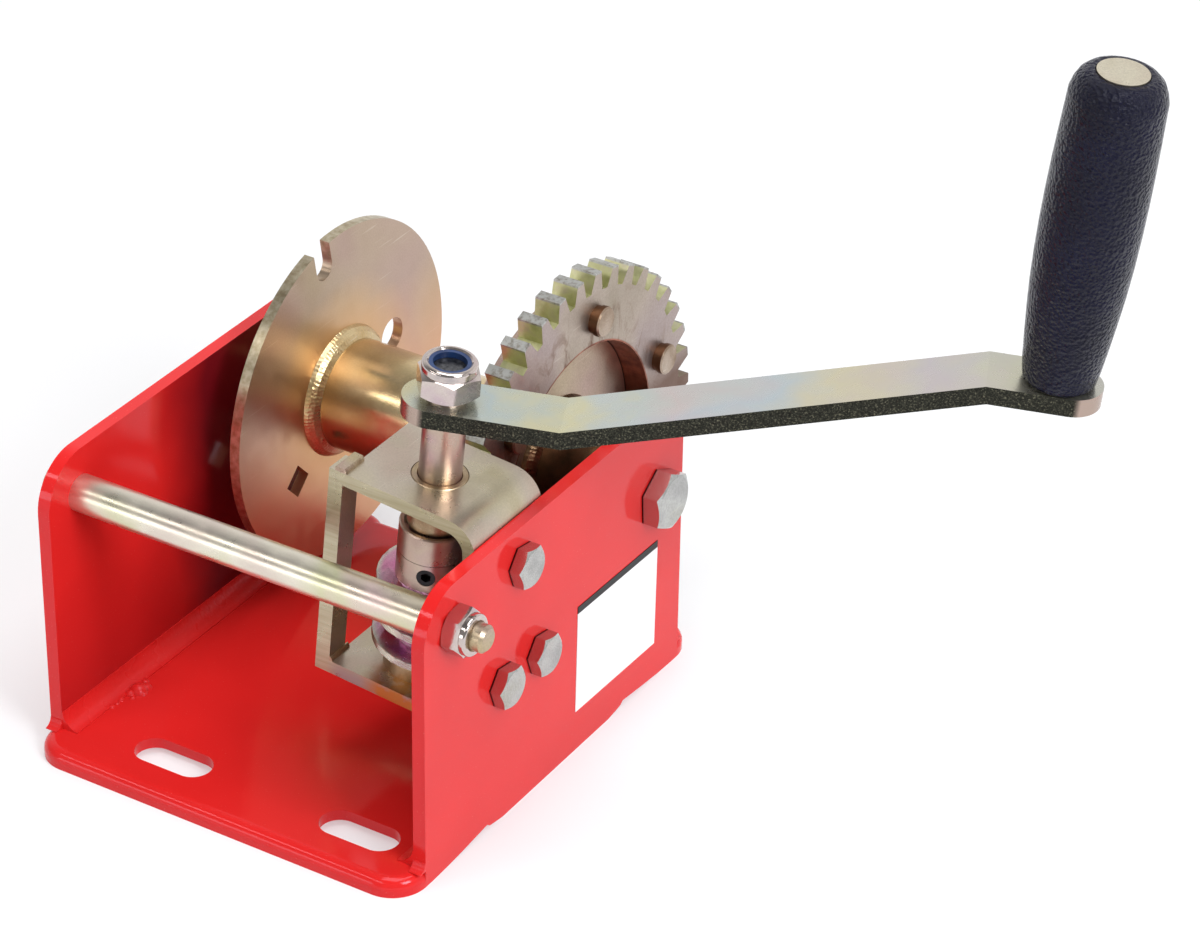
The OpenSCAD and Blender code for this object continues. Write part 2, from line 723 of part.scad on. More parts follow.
module fillet_ring(leg) {
    rotate_extrude() translate([barrel_d / 2 + seat_gap, 0])
        polygon([[0, 0], [leg, 0], [0.86 * leg, 0.34 * leg], [0.52 * leg, 0.72 * leg], [0, leg]]);
}

// weld rings between the barrel and the two flanges
module drum_welds() {
    color([0.7, 0.6, 0.42]) {
        on_axle(-flange_x) fillet_ring(drum_weld);
        on_axle(right_in) mirror([0, 0, 1]) fillet_ring(drum_weld);
        on_axle(wheel_in) fillet_ring(drum_weld);
    }
}

// the thread-driven gear: a ring with straight teeth
module worm_wheel() {
    n = wheel_teeth;
    a = 360 / n;
    rr = asin(tooth_root_w / 2 / wheel_root_r);
    rm = wheel_root_r + 0.45 * (wheel_tip_r - wheel_root_r);
    am = asin((0.5 * tooth_root_w + 0.5 * tooth_tip_w + 0.15) / 2 / rm);
    rt = asin(tooth_tip_w / 2 / wheel_tip_r);
    pts = [for (k = [0:n - 1]) let (c = wheel_phase + k * a)
        for (q = [[-a / 2, wheel_root_r], [-rr, wheel_root_r], [-am, rm], [-rt, wheel_tip_r],
            [rt, wheel_tip_r], [am, rm], [rr, wheel_root_r]])
            [q[1] * cos(c + q[0]), q[1] * sin(c + q[0])]];
    color([0.76, 0.68, 0.5]) on_axle(wheel_in) difference() {
        linear_extrude(height = wheel_t) polygon(pts);
        translate([0, 0, -1]) cylinder(r = wheel_bore_r, h = wheel_t + 2);
        for (k = [0:rivet_count - 1]) rotate([0, 0, rivet_turn + k * 360 / rivet_count])
            translate([rivet_circle_r, 0, -1]) cylinder(d = rivet_d - 3, h = wheel_t + 2);
    }
}

// rivets through the wheel ring and its flange
module wheel_rivets() {
    color([0.72, 0.6, 0.42]) on_axle(right_in)
        for (k = [0:rivet_count - 1]) rotate([0, 0, rivet_turn + k * 360 / rivet_count])
            translate([rivet_circle_r, 0, 0]) {
                cylinder(d = rivet_d - 3, h = flange_t + wheel_t + 1);
                translate([0, 0, flange_t + wheel_t]) {
                    cylinder(d = rivet_d - 1.2, h = 0.5 * rivet_h);
                    translate([0, 0, 0.42 * rivet_h]) cylinder(d = rivet_d, h = 0.46 * rivet_h);
                    translate([0, 0, 0.88 * rivet_h]) cylinder(d1 = rivet_d, d2 = rivet_d - 1.4, h = 0.12 * rivet_h);
                }
            }
}

// plain bushes in the two ends of the barrel
module drum_bushes() {
    color([0.7, 0.52, 0.32]) for (x = [-plate_in + side_gap, plate_in - side_gap - drum_bush_l]) on_axle(x)
        ring(barrel_d / 2 - barrel_wall - seat_gap, axle_d / 2 + run_gap, drum_bush_l);
}

// Crank

// shaft that carries the worm, the collar and the crank arm
module worm_shaft() {
    color([0.72, 0.64, 0.6]) on_shaft() {
        translate([0, 0, strap_low - 1.5]) cylinder(d = shaft_d, h = arm_low_z - arm_t - strap_low + 1.5);
        translate([0, 0, 0]) cylinder(d = shaft_end_d, h = nut_z + nut_h - nut_recess);
    }
}

// the worm, one left-hand thread cut round a core
module worm() {
    m = 40;
    half_c = thread_crest_w / 2;
    half_f = thread_foot_w / 2;
    function r_at(u) = u <= half_c ? worm_r
        : u < half_f ? worm_r + (worm_core_r + 0.7 - worm_r) * (u - half_c) / (half_f - half_c)
        : max(worm_core_r, worm_core_r + 0.7 - 0.7 * (u - half_f) / 0.8);
    pts = [for (k = [0:m - 1]) let (q = k * 360 / m - 180, r = r_at(worm_lead * abs(q) / 360))
        [r * cos(q), r * sin(q)]];
    len = worm_high - worm_low;
    color([0.72, 0.56, 0.68]) on_shaft() difference() {
        translate([0, 0, worm_low]) rotate([0, 0, crest_low])
            linear_extrude(height = len, twist = 360 * len / worm_lead, slices = 72, $fn = m)
                polygon(pts);
        translate([0, 0, worm_low - 1]) cylinder(r = shaft_d / 2 + seat_gap, h = len + 2);
    }
}

// lower ring of the collar, with the hole for the set screw
module collar_lower() {
    color([0.7, 0.64, 0.62]) on_shaft() difference() {
        translate([0, 0, worm_high]) ring(collar_d / 2, shaft_d / 2 + seat_gap, collar_split - worm_high - 0.25);
        rotate([0, 0, set_screw_angle]) translate([5, 0, set_screw_z]) rotate([0, 90, 0])
            cylinder(d = set_screw_d, h = 20);
    }
}

// upper ring of the collar, open at the top around the bush
module collar_upper() {
    color([0.72, 0.68, 0.64]) on_shaft() difference() {
        translate([0, 0, collar_split]) rotate_extrude()
            polygon([[shaft_d / 2 + seat_gap, -0.25], [collar_d / 2 - 1, -0.25], [collar_d / 2 - 1, 0],
                [collar_d / 2, 0], [collar_d / 2, collar_top - collar_split - 0.6],
                [collar_d / 2 - 0.6, collar_top - collar_split], [shaft_d / 2 + seat_gap, collar_top - collar_split]]);
        translate([0, 0, collar_top - 4]) difference() {
            cylinder(r = collar_d / 2 - 2, h = 6);
            translate([0, 0, -1]) cylinder(r = bush_d / 2 - 1.4, h = 8);
        }
    }
}

// hexagon-socket screw that fixes the collar
module set_screw() {
    color([0.1, 0.1, 0.11]) on_shaft() rotate([0, 0, set_screw_angle]) translate([0, 0, set_screw_z])
        rotate([0, 90, 0]) difference() {
            translate([0, 0, shaft_d / 2 + 0.1]) cylinder(d = set_screw_d - 2 * seat_gap, h = collar_d / 2 - shaft_d / 2 - 0.5);
            translate([0, 0, collar_d / 2 - 4]) cylinder(d = set_screw_d / 2 / cos(30), h = 6, $fn = 6);
        }
}

module arm_side_2d() {
    t = arm_t;
    s = arm_slope;
    // a bend keeps the bar's thickness when its inner corner lies on the bisector
    dx = t * tan(s / 2);
    polygon([[-arm_tail, arm_low_z - t], [arm_bend_1 + dx, arm_low_z - t], [arm_bend_2 + dx, arm_high_z - t],
        [arm_reach, arm_high_z - t], [arm_reach, arm_high_z], [arm_bend_2, arm_high_z],
        [arm_bend_1, arm_low_z], [-arm_tail, arm_low_z]]);
}

module arm_plan_2d() {
    r = arm_w / 2;
    translate([-arm_tail + r, 0]) circle(r = r);
    translate([arm_reach - r, 0]) circle(r = r);
    translate([-arm_tail + r, -r]) square([arm_reach + arm_tail - 2 * r, 2 * r]);
}

// flat bar bent twice, with round ends
module crank_arm() {
    color([0.76, 0.76, 0.7]) on_arm() difference() {
        intersection() {
            translate([0, arm_w / 2 + 1, 0]) rotate([90, 0, 0]) linear_extrude(height = arm_w + 2) arm_side_2d();
            translate([0, 0, arm_low_z - arm_t - 5])
                linear_extrude(height = arm_high_z - arm_low_z + arm_t + 10) arm_plan_2d();
        }
        translate([0, 0, arm_low_z - arm_t - 5]) cylinder(r = shaft_end_d / 2 + seat_gap, h = arm_t + 10);
        translate([grip_radius, 0, arm_high_z]) rotate([0, grip_lean, 0]) translate([0, 0, -arm_t - 5])
            cylinder(r = grip_pin_d / 2 + seat_gap, h = arm_t + 10);
    }
}

// lock nut on the upper end of the worm shaft
module crank_nut() {
    color([0.72, 0.72, 0.72]) on_shaft() translate([0, 0, nut_z]) rotate([0, 0, -49])
        lock_nut(nut_af, nut_h, nut_crown, shaft_end_d / 2 + seat_gap, nut_ring_r);
}

// nylon ring in the crown of the lock nut
module nut_ring() {
    color([0.1, 0.25, 0.6]) on_shaft() translate([0, 0, nut_z + nut_h - nut_recess + 0.1])
        ring(nut_ring_r - seat_gap, nut_ring_r - 1.7, nut_recess - 0.9);
}

// pin that the grip turns on, headed at the top and riveted under the arm
module grip_pin() {
    color([0.8, 0.74, 0.58]) on_arm() translate([grip_radius, 0, arm_high_z]) rotate([0, grip_lean, 0]) {
        translate([0, 0, -arm_t + 0.4]) cylinder(d = grip_pin_d, h = arm_t + grip_length + 0.3);
        translate([0, 0, grip_length - 1.9]) cylinder(d = grip_pin_head_d, h = 3.4);
    }
}

// hollow grip, thickest at its middle
module grip() {
    l = grip_length;
    rf = grip_foot_d / 2;
    rm = grip_max_d / 2;
    rt = grip_top_d / 2;
    bore = grip_pin_d / 2 + run_gap;
    color([0.05, 0.05, 0.07]) on_arm() translate([grip_radius, 0, arm_high_z]) rotate([0, grip_lean, 0])
        translate([0, 0, 1]) difference() {
            rotate_extrude()
                polygon([[bore, 0], [rf - 1.2, 0], [rf, 1.4], [rf + 0.18 * (rm - rf), 0.055 * l],
                    [rf + 0.40 * (rm - rf), 0.135 * l], [rf + 0.62 * (rm - rf), 0.225 * l],
                    [rf + 0.80 * (rm - rf), 0.315 * l], [rf + 0.92 * (rm - rf), 0.41 * l],
                    [rf + 0.985 * (rm - rf), 0.51 * l], [rm, 0.60 * l], [rm - 0.12 * (rm - rt), 0.70 * l],
                    [rm - 0.45 * (rm - rt), 0.80 * l], [rm - 0.8 * (rm - rt), 0.88 * l], [rt, 0.93 * l],
                    [rt - 0.9, 0.955 * l], [rt - 2.4, 0.978 * l], [rt - 4.6, 0.993 * l], [rt - 6.6, l],
                    [bore, l]]);
            translate([0, 0, l - 3.3]) cylinder(d = grip_pin_head_d + 2 * 0.4, h = 8);
        }
}

base_plate();
left_side_plate();
right_side_plate();
frame_welds();
tie_tube();
tie_bolt();
tie_nut();
axle_bolt();
axle_nut();
label_plate();
worm_bracket();
bracket_strut();
strut_welds();
upper_bush();
lower_bush();
bracket_bolts();
bracket_nuts();
drum_barrel();
left_flange();
right_flange();
drum_welds();
worm_wheel();
wheel_rivets();
drum_bushes();
worm_shaft();
worm();
collar_lower();
collar_upper();
set_screw();
crank_arm();
crank_nut();
nut_ring();
grip_pin();
grip();
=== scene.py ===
import json
import math
import bpy
from mathutils import Matrix, Vector

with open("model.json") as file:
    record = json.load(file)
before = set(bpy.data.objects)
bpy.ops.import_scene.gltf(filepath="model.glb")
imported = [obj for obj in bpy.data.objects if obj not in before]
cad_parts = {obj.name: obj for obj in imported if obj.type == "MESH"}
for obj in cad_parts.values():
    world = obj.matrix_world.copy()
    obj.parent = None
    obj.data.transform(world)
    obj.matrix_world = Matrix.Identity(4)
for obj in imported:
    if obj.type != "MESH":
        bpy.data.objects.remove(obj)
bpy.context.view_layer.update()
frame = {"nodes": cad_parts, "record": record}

NODES = frame["nodes"]
MM = 0.001

# Places in the CAD model, in millimetres
AXLE_Y, AXLE_Z = 170.0, 94.9
SHAFT_FOOT = Vector((41.6, 62.5, 94.9))
SHAFT_TILT = math.radians(5.5)
SHAFT_TOP = 99.5
FRAME_MID_X, FRAME_HALF = -10.0, 96.0
LABEL_TURN = math.radians(1.1)
LABEL_BAND_Z = 71.5

# The crank arm seen from above: its direction, the length of its film in metres
# and the place along it, in such lengths, where the film begins
ARM_X, ARM_Y = 0.9135, 0.405
ARM_SPAN = 0.26
ARM_START = 0.244

# Colours, linear. A palette is a list of (position, colour) on a noise.
YELLOW = [(0.30, (0.44, 0.36, 0.20)), (0.43, (0.52, 0.42, 0.26)), (0.55, (0.52, 0.42, 0.31)),
          (0.66, (0.52, 0.38, 0.31)), (0.78, (0.42, 0.39, 0.25))]
BRACKET = [(0.30, (0.52, 0.45, 0.29)), (0.43, (0.60, 0.53, 0.39)), (0.55, (0.58, 0.50, 0.41)),
           (0.66, (0.56, 0.45, 0.37)), (0.78, (0.50, 0.46, 0.33))]
GOLD = [(0.30, (0.60, 0.42, 0.20)), (0.50, (0.72, 0.56, 0.32)), (0.70, (0.64, 0.50, 0.26))]
DUSK = [(0.30, (0.46, 0.36, 0.24)), (0.45, (0.49, 0.37, 0.28)), (0.58, (0.48, 0.34, 0.29)),
        (0.72, (0.46, 0.38, 0.27))]
PINKISH = [(0.32, (0.45, 0.33, 0.28)), (0.48, (0.52, 0.41, 0.33)), (0.62, (0.48, 0.33, 0.33)),
           (0.75, (0.43, 0.33, 0.36))]
WORM = [(0.35, (0.60, 0.20, 0.36)), (0.50, (0.66, 0.36, 0.46)), (0.65, (0.46, 0.24, 0.42))]
TUBE = [(0.30, (0.66, 0.56, 0.50)), (0.46, (0.76, 0.71, 0.60)), (0.58, (0.64, 0.63, 0.42)),
        (0.72, (0.72, 0.56, 0.54))]
SILVER = [(0.30, (0.42, 0.42, 0.41)), (0.50, (0.54, 0.54, 0.52)), (0.70, (0.48, 0.48, 0.43))]
NUT = [(0.30, (0.42, 0.38, 0.38)), (0.50, (0.62, 0.54, 0.50)), (0.70, (0.55, 0.44, 0.46))]
FACE = [(0.30, (0.37, 0.31, 0.24)), (0.48, (0.46, 0.38, 0.32)), (0.66, (0.42, 0.34, 0.32))]
RIVET = [(0.30, (0.26, 0.17, 0.10)), (0.50, (0.42, 0.32, 0.24)), (0.70, (0.50, 0.40, 0.32))]
BUSH = [(0.30, (0.36, 0.24, 0.14)), (0.50, (0.50, 0.38, 0.24)), (0.70, (0.44, 0.32, 0.22))]
PIN = [(0.30, (0.60, 0.54, 0.40)), (0.50, (0.72, 0.66, 0.52)), (0.70, (0.64, 0.56, 0.44))]
FILM = [(0.28, (0.60, 0.56, 0.36)), (0.40, (0.64, 0.62, 0.46)), (0.50, (0.50, 0.57, 0.58)),
        (0.60, (0.60, 0.58, 0.50)), (0.72, (0.60, 0.48, 0.46))]
ARM_FILM = [(0.00, (0.62, 0.56, 0.34)), (0.12, (0.50, 0.57, 0.56)), (0.20, (0.66, 0.62, 0.40)),
            (0.28, (0.52, 0.58, 0.60)), (0.40, (0.60, 0.52, 0.56)), (0.52, (0.52, 0.58, 0.62)),
            (0.64, (0.66, 0.60, 0.44)), (0.76, (0.60, 0.52, 0.54)), (0.88, (0.62, 0.60, 0.46)),
            (1.00, (0.54, 0.54, 0.50))]
ARM_CUT = [(0.36, (0.012, 0.012, 0.010)), (0.56, (0.036, 0.036, 0.028)), (0.70, (0.20, 0.19, 0.13))]
FLANGE_CUT = [(0.32, (0.34, 0.27, 0.17)), (0.50, (0.46, 0.39, 0.27)), (0.68, (0.58, 0.51, 0.38))]
STRAP_CUT = [(0.36, (0.42, 0.37, 0.25)), (0.50, (0.46, 0.41, 0.29)), (0.66, (0.51, 0.46, 0.33))]
TOOTH_FLANK = [(0.35, (0.42, 0.42, 0.22)), (0.55, (0.54, 0.53, 0.31)), (0.70, (0.50, 0.46, 0.33))]
TOOTH_CREST = [(0.34, (0.26, 0.24, 0.21)), (0.54, (0.44, 0.44, 0.42))]
WORM_CREST = [(0.35, (0.50, 0.42, 0.42)), (0.60, (0.56, 0.53, 0.44))]
WHEEL_RUST = [(0.35, (0.16, 0.045, 0.025)), (0.60, (0.36, 0.12, 0.07)), (0.75, (0.44, 0.20, 0.13))]
BARREL_RUST = [(0.35, (0.08, 0.035, 0.018)), (0.65, (0.26, 0.12, 0.06))]
# Darker tone for the top end of the shaft inside the nut
SHAFT_END_TONE = [(0.35, (0.05, 0.05, 0.055)), (0.65, (0.16, 0.16, 0.17))]
PAINT = [(0.30, (0.63, 0.016, 0.015)), (0.70, (0.69, 0.019, 0.018))]
GRIP = [(0.30, (0.0012, 0.0012, 0.009)), (0.70, (0.0026, 0.0026, 0.017))]
PAPER = [(0.30, (0.80, 0.80, 0.81)), (0.70, (0.86, 0.86, 0.87))]
SCREW = [(0.30, (0.012, 0.012, 0.014)), (0.70, (0.03, 0.03, 0.034))]
NYLON = [(0.30, (0.006, 0.022, 0.085)), (0.70, (0.012, 0.040, 0.13))]
FLOOR = [(0.30, (0.49, 0.49, 0.49)), (0.70, (0.51, 0.51, 0.51))]

PAINT_SPECK = (0.8, 0.25, 0.22)
# Painted shade for the inside of the left plate, behind the flange and at its foot
PAINT_SHADE = (0.08, 0.003, 0.008)
SCRATCH = (0.80, 0.74, 0.62)
# Painted reflection of the red plate on bolt head sides, and painted shade in the seam at the plate
HEAD_SIDE_REFLECTION = (0.52, 0.42, 0.40)
HEAD_SEAM_SHADE = (0.03, 0.008, 0.008)
# Painted reflection of the red paint, low on the left flange
FLANGE_RED_REFLECTION = (0.76, 0.40, 0.22)
FLANGE_BROWN = (0.72, 0.42, 0.18)
BORE_BROWN = (0.36, 0.15, 0.11)
BORE_BLACK = (0.02, 0.010, 0.008)
WHEEL_WEAR = (0.16, 0.08, 0.045)
# Darker tone for the lower part of the wheel
WHEEL_LOWER_TONE = (0.13, 0.06, 0.035)
# Painted shade on the sides of the rivet heads
RIVET_SIDE_SHADE = (0.17, 0.085, 0.045)
ARM_END = (0.42, 0.32, 0.27)
STRAP_SCALE = (0.30, 0.31, 0.34)
STRAP_SCORCH = (0.46, 0.22, 0.06)
BARREL_UNDER = (0.28, 0.20, 0.13)
LABEL_INK = (0.010, 0.010, 0.011)


class Shader:
    """Small helper that builds one procedural material."""

    def __init__(self, name, **sockets):
        self.mat = bpy.data.materials.new(name)
        self.mat.use_nodes = True
        self.tree = self.mat.node_tree
        self.bsdf = self.tree.nodes["Principled BSDF"]
        self.coord = self.tree.nodes.new("ShaderNodeTexCoord")
        for key, value in sockets.items():
            self.bsdf.inputs[key.replace("_", " ")].default_value = value

    def add(self, kind, **values):
        """A new node. Each value sets a property of it, or else the input of that name."""
        node = self.tree.nodes.new(kind)
        for key, value in values.items():
            if hasattr(node, key):
                setattr(node, key, value)
            else:
                node.inputs[key.replace("_", " ")].default_value = value
        return node

    def link(self, source, target):
        self.tree.links.new(source, target)

    def place(self, scale=(1, 1, 1), turn=(0, 0, 0)):
        """Object coordinates, turned and scaled."""
        node = self.add("ShaderNodeMapping")
        node.inputs["Scale"].default_value = scale
        node.inputs["Rotation"].default_value = turn
        self.link(self.coord.outputs["Object"], node.inputs["Vector"])
        return node.outputs["Vector"]

    def within(self, origin, turn):
        """Coordinates in a frame at origin, in metres, turned by the Euler angles."""
        node = self.add("ShaderNodeMapping", vector_type="TEXTURE")
        node.inputs["Location"].default_value = origin
        node.inputs["Rotation"].default_value = turn
        self.link(self.coord.outputs["Object"], node.inputs["Vector"])
        return node.outputs["Vector"]

    def parts(self, vector):
        node = self.add("ShaderNodeSeparateXYZ")
        self.link(vector, node.inputs[0])
        return node.outputs

    def axis(self, letter):
        return self.parts(self.coord.outputs["Object"])[letter]

    def facing(self, letter):
        return self.parts(self.coord.outputs["Normal"])[letter]

    def noise(self, scale, detail=3.0, rough=0.55, where=None, distortion=0.0):
        node = self.add("ShaderNodeTexNoise", Scale=scale, Detail=detail, Roughness=rough,
                        Distortion=distortion)
        self.link(where or self.coord.outputs["Object"], node.inputs["Vector"])
        return node.outputs["Fac"]

    def cells(self, scale, feature="F1"):
        node = self.add("ShaderNodeTexVoronoi", feature=feature, Scale=scale)
        self.link(self.coord.outputs["Object"], node.inputs["Vector"])
        return node.outputs["Distance"]

    def ramp(self, fac, stops):
        """Straight blend through stops of (position, colour or grey level)."""
        node = self.add("ShaderNodeValToRGB")
        points = node.color_ramp.elements
        while len(points) < len(stops):
            points.new(0.5)
        for point, (at, value) in zip(points, stops):
            point.position = at
            if isinstance(value, (int, float)):
                value = (value, value, value)
            point.color = (*value, 1.0)
        self.link(fac, node.inputs["Fac"])
        return node.outputs["Color"]

    def mottle(self, stops, scale, detail=3.0, rough=0.55):
        """A palette spread over a noise."""
        return self.ramp(self.noise(scale, detail, rough), stops)

    def mix(self, fac, a, b, blend="MIX"):
        node = self.add("ShaderNodeMix", data_type="RGBA", blend_type=blend)
        for value, index in ((fac, 0), (a, 6), (b, 7)):
            socket = node.inputs[index]
            if isinstance(value, (int, float)):
                socket.default_value = value
            elif isinstance(value, tuple):
                socket.default_value = (*value, 1.0)
            else:
                self.link(value, socket)
        return node.outputs[2]

    def math(self, op, a, b=0.0):
        node = self.add("ShaderNodeMath", operation=op)
        for value, index in ((a, 0), (b, 1)):
            if isinstance(value, (int, float)):
                node.inputs[index].default_value = value
            else:
                self.link(value, node.inputs[index])
        return node.outputs[0]

    def times(self, a, b):
        return self.math("MULTIPLY", a, b)

    def plus(self, a, b):
        return self.math("ADD", a, b)

    def length(self, a, b):
        return self.math("SQRT", self.plus(self.times(a, a), self.times(b, b)))

    def from_axle(self):
        """Place in metres in the plane across the axle, from the axle's middle."""
        return (self.math("SUBTRACT", self.axis("Y"), AXLE_Y * MM),
                self.math("SUBTRACT", self.axis("Z"), AXLE_Z * MM))

    def axle_radius(self):
        return self.length(*self.from_axle())

    def axle_angle(self):
        dy, dz = self.from_axle()
        return self.math("ARCTAN2", dz, dy)

    def shaft_frame(self):
        """Coordinates in metres along the leaning worm shaft."""
        return self.parts(self.within(SHAFT_FOOT * MM, (0, SHAFT_TILT, 0)))

    def window(self, value, low, high):
        """0 below low, 1 above high, straight between; a falling step when low is above high."""
        node = self.add("ShaderNodeMapRange", clamp=True)
        node.inputs["From Min"].default_value = low
        node.inputs["From Max"].default_value = high
        self.link(value, node.inputs["Value"])
        return node.outputs["Result"]

    def span(self, value, low, high):
        """The same for a length, with its limits in millimetres."""
        return self.window(value, low * MM, high * MM)

    def sides(self, letter, low, high):
        """1 on the faces that look across the axis of that letter."""
        return self.window(self.math("ABSOLUTE", self.facing(letter)), low, high)

    def drifted(self, value, scale, reach, detail=2.0):
        """A length in metres plus a noise of up to reach millimetres."""
        return self.plus(value, self.times(self.noise(scale, detail), reach * MM))

    def color(self, source):
        self.link(source, self.bsdf.inputs["Base Color"])

    def rough(self, low, high, scale, detail=2.0, grain=0.55, start=0.3):
        """Roughness between low and high, spread over a noise."""
        self.link(self.mottle([(start, low), (0.7, high)], scale, detail, grain),
                  self.bsdf.inputs["Roughness"])

    def bump(self, *layers):
        """Each layer is (height, strength, distance in millimetres)."""
        last = None
        for height, strength, distance in layers:
            node = self.add("ShaderNodeBump", Strength=strength, Distance=distance * MM)
            self.link(height, node.inputs["Height"])
            if last:
                self.link(last, node.inputs["Normal"])
            last = node.outputs["Normal"]
        self.link(last, self.bsdf.inputs["Normal"])


# Stains, painted shade and painted reflections: each takes a shader and the colour so far, and gives
# the new colour

def shade_behind_flange(s, tone):
    """Painted shade on the inside of the left plate, thick behind the flange that shadows it and thin
    in the crease at the foot.
    """
    inner = s.window(s.facing("X"), 0.5, 0.9)
    rear = s.times(s.span(s.drifted(s.axis("Y"), 22.0, 30.0), 80.0, 118.0), 0.85)
    foot = s.times(s.span(s.drifted(s.axis("Z"), 22.0, 30.0), 90.0, 35.0), 0.32)
    return s.mix(s.times(s.math("MAXIMUM", rear, foot), inner), tone, PAINT_SHADE)


def head_reflection_and_shade(s, tone):
    """Painted reflection of the red plate on the sides of a bolt head, with a painted dark shade in
    the seam at the plate.
    """
    side = s.sides("X", 0.8, 0.5)
    tone = s.mix(side, tone, HEAD_SIDE_REFLECTION)
    from_middle = s.math("ABSOLUTE", s.plus(s.axis("X"), -FRAME_MID_X * MM))
    seam = s.span(from_middle, FRAME_HALF + 1.0, FRAME_HALF + 0.5)
    return s.mix(s.times(seam, side), tone, HEAD_SEAM_SHADE)


def flange_halo(s, tone):
    """Painted reflection of the red paint low on the flange, brown round the weld, and the sheared
    rim.
    """
    r = s.axle_radius()
    low = s.span(s.drifted(s.axis("Z"), 16.0, 30.0), 150.0, 80.0)
    tone = s.mix(s.times(low, 0.85), tone, FLANGE_RED_REFLECTION)
    brown = s.span(s.drifted(r, 40.0, 12.0), 62.0, 34.0)
    tone = s.mix(s.times(brown, 0.65), tone, FLANGE_BROWN)
    rim = s.times(s.sides("X", 0.7, 0.5), s.span(r, 70.0, 72.0))
    return s.mix(rim, tone, s.mottle(FLANGE_CUT, 300.0, 3.0, 0.6))


def bore_shade(s, tone):
    """Dark ring on the right flange, inside the wheel's bore."""
    r = s.axle_radius()
    outer = s.window(s.facing("X"), 0.5, 0.9)
    ring = s.span(s.drifted(r, 90.0, 6.0, 3.0), 52.0, 61.0)
    tone = s.mix(s.times(s.times(ring, 0.7), outer), tone, BORE_BROWN)
    return s.mix(s.times(s.span(r, 57.2, 57.7), outer), tone, BORE_BLACK)


def wheel_stain(s, tone):
    """Greenish flanks, worn crests, smears on the face, rust in the bore, darker towards the bottom.
    """
    r = s.axle_radius()
    tone = s.mix(s.sides("X", 0.7, 0.5), tone, s.mottle(TOOTH_FLANK, 150.0))
    tone = s.mix(s.span(r, 90.8, 91.2), tone, s.mottle(TOOTH_CREST, 480.0))
    smear = s.noise(70.0, 5.0, 0.65, distortion=1.2,
                    where=s.place(scale=(1.0, 1.0, 0.5), turn=(0.6, 0.0, 0.0)))
    worn = s.times(s.ramp(smear, [(0.53, 0.0), (0.64, 0.9)]), s.span(r, 86.0, 62.0))
    tone = s.mix(worn, tone, WHEEL_WEAR)
    tone = s.mix(s.span(r, 59.0, 58.4), tone, s.mottle(WHEEL_RUST, 160.0, 4.0, 0.6))
    lower_part = s.span(s.axis("Z"), 118.0, 104.0)
    return s.mix(s.times(lower_part, 0.85), tone, WHEEL_LOWER_TONE)


# Painted shade: the sides of the rivet heads darker than their faces
def rivet_side_shade(s, tone):
    return s.mix(s.sides("X", 0.8, 0.5), tone, RIVET_SIDE_SHADE)


def arm_edges(s, tone):
    """Film that changes along the arm, round ends, and dark cut edges along its length."""
    along = s.plus(s.times(s.axis("X"), ARM_X / ARM_SPAN), s.times(s.axis("Y"), ARM_Y / ARM_SPAN))
    drift = s.times(s.math("SUBTRACT", s.noise(34.0), 0.5), 0.34)
    film = s.ramp(s.plus(s.math("SUBTRACT", along, ARM_START), drift), ARM_FILM)
    tone = s.mix(0.75, tone, film)
    side = s.sides("Z", 0.75, 0.6)
    tone = s.mix(side, tone, ARM_END)
    across = s.math("ABSOLUTE", s.plus(s.times(s.facing("X"), -ARM_Y),
                                       s.times(s.facing("Y"), ARM_X)))
    long_edge = s.times(side, s.window(across, 0.93, 0.985))
    return s.mix(long_edge, tone, s.mottle(ARM_CUT, 1300.0, 4.0, 0.7))


def worm_crest(s, tone):
    place = s.shaft_frame()
    crest = s.span(s.length(place[0], place[1]), 20.0, 22.2)
    return s.mix(crest, tone, s.mottle(WORM_CREST, 140.0))


# The top end of the shaft, inside the nut, darker
def shaft_end(s, tone):
    top = s.span(s.shaft_frame()[2], SHAFT_TOP, SHAFT_TOP + 0.5)
    return s.mix(top, tone, s.mottle(SHAFT_END_TONE, 500.0))


def burnt(s, tone):
    """Sheared front edge of the strap, with grey scale and a burnt patch at its lower end."""
    front = s.window(s.times(s.facing("Y"), -1.0), 0.8, 0.95)
    shear = s.noise(200.0, 3.0, 0.6, where=s.place(scale=(0.12, 1.0, 4.0)))
    tone = s.mix(front, tone, s.ramp(shear, STRAP_CUT))
    low = s.span(s.axis("Z"), 60.0, 52.0)
    scale = s.times(s.times(low, front), s.span(s.axis("X"), 6.0, 12.0))
    tone = s.mix(s.times(scale, 0.7), tone, STRAP_SCALE)
    scorch = s.times(s.mottle([(0.38, 0.0), (0.52, 1.0)], 110.0, 4.0), low)
    return s.mix(s.times(scorch, s.span(s.axis("X"), 22.0, 32.0)), tone, STRAP_SCORCH)


def rusty_end(s, tone):
    rusty = s.times(s.span(s.axis("X"), 20.0, 34.0), 0.85)
    return s.mix(rusty, tone, s.mottle(BARREL_RUST, 120.0, 4.0, 0.6))


def barrel_shade(s, tone):
    tone = rusty_end(s, tone)
    under = s.times(s.window(s.facing("Z"), 0.05, -0.45), 0.75)
    return s.mix(under, tone, BARREL_UNDER)


# Reliefs: each gives the bump layers of a weld

def lumpy_weld(s):
    return (s.noise(420.0), 0.5, 0.8), (s.cells(230.0), 0.4, 0.8)


def ring_weld(s):
    """Uneven ripples round the axle and soft lumps."""
    phase = s.plus(s.times(s.axle_angle(), 95.0), s.times(s.noise(70.0), 16.0))
    return ((s.math("SINE", phase), 0.2, 0.2), (s.noise(420.0), 0.6, 0.7),
            (s.noise(150.0, 2.0), 0.4, 1.0))


